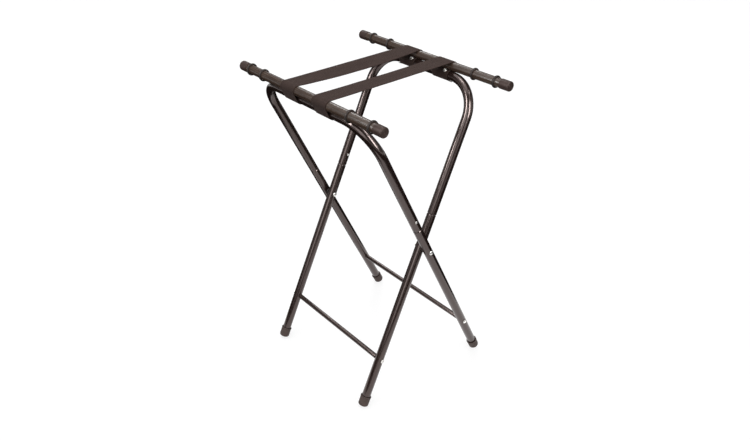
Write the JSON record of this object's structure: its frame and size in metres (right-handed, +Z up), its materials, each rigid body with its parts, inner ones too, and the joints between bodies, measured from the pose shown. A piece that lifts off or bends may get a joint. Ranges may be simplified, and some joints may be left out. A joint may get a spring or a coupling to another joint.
{
  "type": "folding tray stand",
  "caption": "Folding tray stand: two crossed bent-tube frames on a pivot, each with a straight rail on top, joined by two webbing straps.",
  "frame": {"origin": "on the floor under the middle of the stand", "axes": "+Z up, Y along the rails, X the direction in which the frames fold; the outer frame's rail is at -X"},
  "size_m": [0.3962, 0.507, 0.7861],
  "materials": {
    "tube_enamel": "gloss black enamel",
    "rail_coating": "semi-matte brown-black coating with faint lengthwise streaks",
    "cap_plastic": "moulded brown-black plastic",
    "ring_rubber": "black rubber",
    "foot_rubber": "dark grey-black rubber",
    "webbing": "woven dark brown-black webbing",
    "zinc_fastener": "bright zinc",
    "spacer_nylon": "black nylon"
  },
  "bodies": {
    "outer_frame": {"back_pivot_rivet": "zinc_fastener", "back_pivot_spacer": "spacer_nylon", "back_strap_outer_screw": "zinc_fastener", "back_strap_outer_washer": "zinc_fastener", "back_strap_outer_wrap": "webbing", "back_strap_span": "webbing", "front_pivot_rivet": "zinc_fastener", "front_pivot_spacer": "spacer_nylon", "front_strap_outer_screw": "zinc_fastener", "front_strap_outer_washer": "zinc_fastener", "front_strap_outer_wrap": "webbing", "front_strap_span": "webbing", "outer_back_foot": "foot_rubber", "outer_back_leg": "tube_enamel", "outer_back_leg_rivet": "zinc_fastener", "outer_back_rail_cap": "cap_plastic", "outer_back_rail_screw": "zinc_fastener", "outer_back_rod_screw": "zinc_fastener", "outer_cross_rod": "tube_enamel", "outer_front_foot": "foot_rubber", "outer_front_leg": "tube_enamel", "outer_front_leg_rivet": "zinc_fastener", "outer_front_rail_cap": "cap_plastic", "outer_front_rail_screw": "zinc_fastener", "outer_front_rod_screw": "zinc_fastener", "outer_rail": "rail_coating", "outer_rail_ring_1": "ring_rubber", "outer_rail_ring_2": "ring_rubber", "outer_rail_ring_3": "ring_rubber", "outer_rail_ring_4": "ring_rubber", "outer_upper_frame": "tube_enamel"},
    "inner_frame": {"back_strap_inner_screw": "zinc_fastener", "back_strap_inner_washer": "zinc_fastener", "back_strap_inner_wrap": "webbing", "front_strap_inner_screw": "zinc_fastener", "front_strap_inner_washer": "zinc_fastener", "front_strap_inner_wrap": "webbing", "inner_back_foot": "foot_rubber", "inner_back_leg": "tube_enamel", "inner_back_leg_rivet": "zinc_fastener", "inner_back_rail_cap": "cap_plastic", "inner_back_rail_screw": "zinc_fastener", "inner_back_rod_screw": "zinc_fastener", "inner_cross_rod": "tube_enamel", "inner_front_foot": "foot_rubber", "inner_front_leg": "tube_enamel", "inner_front_leg_rivet": "zinc_fastener", "inner_front_rail_cap": "cap_plastic", "inner_front_rail_screw": "zinc_fastener", "inner_front_rod_screw": "zinc_fastener", "inner_rail": "rail_coating", "inner_rail_ring_1": "ring_rubber", "inner_rail_ring_2": "ring_rubber", "inner_rail_ring_3": "ring_rubber", "inner_rail_ring_4": "ring_rubber", "inner_upper_frame": "tube_enamel"}
  },
  "joints": [
    {"name": "fold", "type": "hinge", "parent": "outer_frame", "child": "inner_frame", "pos_m": [0, 0, 0.396], "axis": [0, -1, 0], "range_deg": [0, 46.5], "deforming": ["back_strap_span", "front_strap_span"]}
  ]
}
